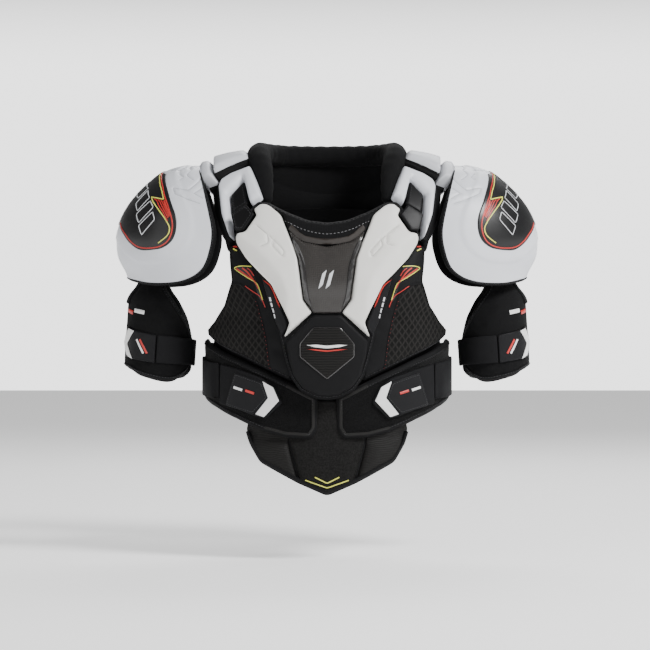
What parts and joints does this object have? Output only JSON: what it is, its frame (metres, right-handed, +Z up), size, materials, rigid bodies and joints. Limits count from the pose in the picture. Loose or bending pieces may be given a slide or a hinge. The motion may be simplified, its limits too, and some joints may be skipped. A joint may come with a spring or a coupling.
{
  "type": "hockey shoulder pads",
  "caption": "Padded upper-body protector with moulded shoulder caps, floating sternum plate, strapped upper-arm guards, back pads and a hinged belly flap.",
  "frame": {"origin": "on the torso axis at the base of the wearer's neck, the point the pads are worn around", "axes": "+Z up, the wearer faces -Y, +X to the wearer's left"},
  "size_m": [0.5466, 0.2774, 0.454],
  "materials": {
    "white_shell": "satin moulded shell",
    "warm_white": "satin moulded foam",
    "grey_foam": "matt moulded foam",
    "black_fabric": "matt knit",
    "black_foam": "matt moulded foam rubber",
    "black_gloss": "glossy",
    "black_leather": "grained, satin",
    "black_loop": "brushed loop pile",
    "dark_elastic": "ribbed elastic"
  },
  "bodies": {
    "torso_harness": {"chest_pad_left": "black_fabric", "chest_pad_right": "black_fabric", "loop_panel_left": "black_loop", "loop_panel_right": "black_loop", "side_band_left": "black_fabric", "side_band_right": "black_fabric", "side_strap_left": "dark_elastic", "side_strap_right": "dark_elastic", "yoke_left": "black_fabric", "yoke_right": "black_fabric", "clavicle_frame_left": "white_shell", "clavicle_frame_right": "white_shell", "shoulder_strap_left": "black_leather", "shoulder_strap_right": "black_leather", "clavicle_cap_left": "grey_foam", "clavicle_cap_right": "grey_foam", "upper_back_pad_left": "black_fabric", "upper_back_pad_right": "black_fabric", "collar_left": "black_fabric", "collar_right": "black_fabric", "collar_back": "black_fabric", "nape_panel": "black_fabric", "sternum_inner_pad": "black_fabric", "belly_pad_anchor": "black_fabric", "spine_guard": "white_shell", "back_liner": "black_fabric"},
    "sternum_plate": {"sternum_backing": "black_fabric", "neck_band": "black_fabric", "sternum_core": "black_gloss", "sternum_shield": "black_foam", "sternum_badge": "black_gloss", "sternum_wing_left": "warm_white", "sternum_wing_right": "warm_white", "side_accent_left": "black_foam", "side_accent_right": "black_foam", "strap_tip_left": "black_leather", "strap_tip_right": "black_leather"},
    "belly_flap": {"belly_core": "black_fabric", "belly_side_left": "black_foam", "belly_side_right": "black_foam"},
    "lower_back_flap": {"lower_back_pad": "black_fabric"},
    "link_left": {"clavicle_link_left": "grey_foam"},
    "shoulder_cap_left": {"cap_shell_left": "white_shell", "cap_inlay_left": "black_gloss", "cap_liner_left": "black_fabric"},
    "arm_hanger_left": {"arm_sling_left": "dark_elastic"},
    "bicep_left": {"bicep_guard_left": "black_fabric", "bicep_strap_left": "dark_elastic"},
    "arm_tab_left": {"bicep_tab_left": "dark_elastic"},
    "belly_tab_left": {"belly_strap_left": "dark_elastic"},
    "link_right": {"clavicle_link_right": "grey_foam"},
    "shoulder_cap_right": {"cap_shell_right": "white_shell", "cap_inlay_right": "black_gloss", "cap_liner_right": "black_fabric"},
    "arm_hanger_right": {"arm_sling_right": "dark_elastic"},
    "bicep_right": {"bicep_guard_right": "black_fabric", "bicep_strap_right": "dark_elastic"},
    "arm_tab_right": {"bicep_tab_right": "dark_elastic"},
    "belly_tab_right": {"belly_strap_right": "dark_elastic"}
  },
  "joints": [
    {"name": "sternum_swing", "type": "hinge", "parent": "torso_harness", "child": "sternum_plate", "pos_m": [0, -0.1, -0.01], "axis": [-1, 0, 0], "range_deg": [0, 20]},
    {"name": "belly_swing", "type": "hinge", "parent": "torso_harness", "child": "belly_flap", "pos_m": [0, -0.1175, -0.308], "axis": [-1, 0, 0], "range_deg": [0, 45]},
    {"name": "lower_back_swing", "type": "hinge", "parent": "torso_harness", "child": "lower_back_flap", "pos_m": [0, 0.1085, -0.204], "axis": [1, 0, 0], "range_deg": [0, 30]},
    {"name": "link_lift_left", "type": "hinge", "parent": "torso_harness", "child": "link_left", "pos_m": [0.146, 0, 0.042], "axis": [0, -1, 0], "range_deg": [0, 14]},
    {"name": "cap_lift_left", "type": "hinge", "parent": "link_left", "child": "shoulder_cap_left", "pos_m": [0.165, 0, 0.045], "axis": [0, -1, 0], "range_deg": [0, 35]},
    {"name": "arm_spread_left", "type": "hinge", "parent": "shoulder_cap_left", "child": "arm_hanger_left", "pos_m": [0.22, 0, -0.066], "axis": [0, -1, 0], "range_deg": [-2, 5]},
    {"name": "arm_swing_left", "type": "hinge", "parent": "arm_hanger_left", "child": "bicep_left", "pos_m": [0.22, 0, -0.084], "axis": [-1, 0, 0], "range_deg": [-20, 22]},
    {"name": "arm_tab_open_left", "type": "hinge", "parent": "bicep_left", "child": "arm_tab_left", "pos_m": [0.2195, -0.048, -0.193], "axis": [0, 0, -1], "range_deg": [0, 100]},
    {"name": "belly_tab_open_left", "type": "hinge", "parent": "torso_harness", "child": "belly_tab_left", "pos_m": [0.1395, -0.076, -0.236], "axis": [0, 0, 1], "range_deg": [0, 110]},
    {"name": "link_lift_right", "type": "hinge", "parent": "torso_harness", "child": "link_right", "pos_m": [-0.146, 0, 0.042], "axis": [0, 1, 0], "range_deg": [0, 14]},
    {"name": "cap_lift_right", "type": "hinge", "parent": "link_right", "child": "shoulder_cap_right", "pos_m": [-0.165, 0, 0.045], "axis": [0, 1, 0], "range_deg": [0, 35]},
    {"name": "arm_spread_right", "type": "hinge", "parent": "shoulder_cap_right", "child": "arm_hanger_right", "pos_m": [-0.22, 0, -0.066], "axis": [0, 1, 0], "range_deg": [-2, 5]},
    {"name": "arm_swing_right", "type": "hinge", "parent": "arm_hanger_right", "child": "bicep_right", "pos_m": [-0.22, 0, -0.084], "axis": [-1, 0, 0], "range_deg": [-20, 22]},
    {"name": "arm_tab_open_right", "type": "hinge", "parent": "bicep_right", "child": "arm_tab_right", "pos_m": [-0.2195, -0.048, -0.193], "axis": [0, 0, 1], "range_deg": [0, 100]},
    {"name": "belly_tab_open_right", "type": "hinge", "parent": "torso_harness", "child": "belly_tab_right", "pos_m": [-0.1395, -0.076, -0.236], "axis": [0, 0, -1], "range_deg": [0, 110]}
  ],
  "couplings": [
    {"joint": "link_lift_left", "follows": "cap_lift_left", "ratio": 0.4},
    {"joint": "link_lift_right", "follows": "cap_lift_right", "ratio": 0.4}
  ]
}
